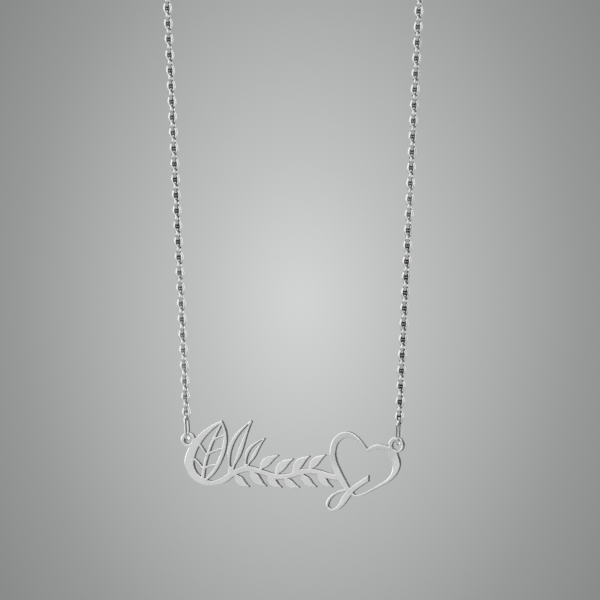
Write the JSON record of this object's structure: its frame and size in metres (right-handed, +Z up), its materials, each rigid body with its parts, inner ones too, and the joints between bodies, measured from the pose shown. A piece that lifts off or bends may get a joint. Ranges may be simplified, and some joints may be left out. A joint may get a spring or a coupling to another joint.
{
  "type": "nameplate necklace",
  "caption": "Openwork silver nameplate with leaves and a heart, hung from a fine cable chain by a long jump ring at each end; closed loop with a small round clasp.",
  "frame": {"origin": "highest point of the closed loop, at the clasp's middle, where the necklace hangs over a nape, hook or peg", "axes": "+Z up along the hanging loop, +X to the right along the nameplate, front of the nameplate facing -Y"},
  "size_m": [0.054, 0.0062, 0.2021],
  "materials": {
    "satin_silver": "fine satin silver with polished edges",
    "polished_silver": "polished silver"
  },
  "bodies": {
    "chain": {"chain_left": "polished_silver", "chain_right": "polished_silver", "jump_ring_left": "polished_silver", "jump_ring_right": "polished_silver", "clasp": "polished_silver"},
    "pendant": {"nameplate": "satin_silver"}
  },
  "joints": [
    {"name": "nameplate_swing", "type": "hinge", "parent": "chain", "child": "pendant", "pos_m": [-0.00008, 0, -0.18869], "axis": [1, 0, 0.0081], "range_deg": [-100, 100]}
  ]
}
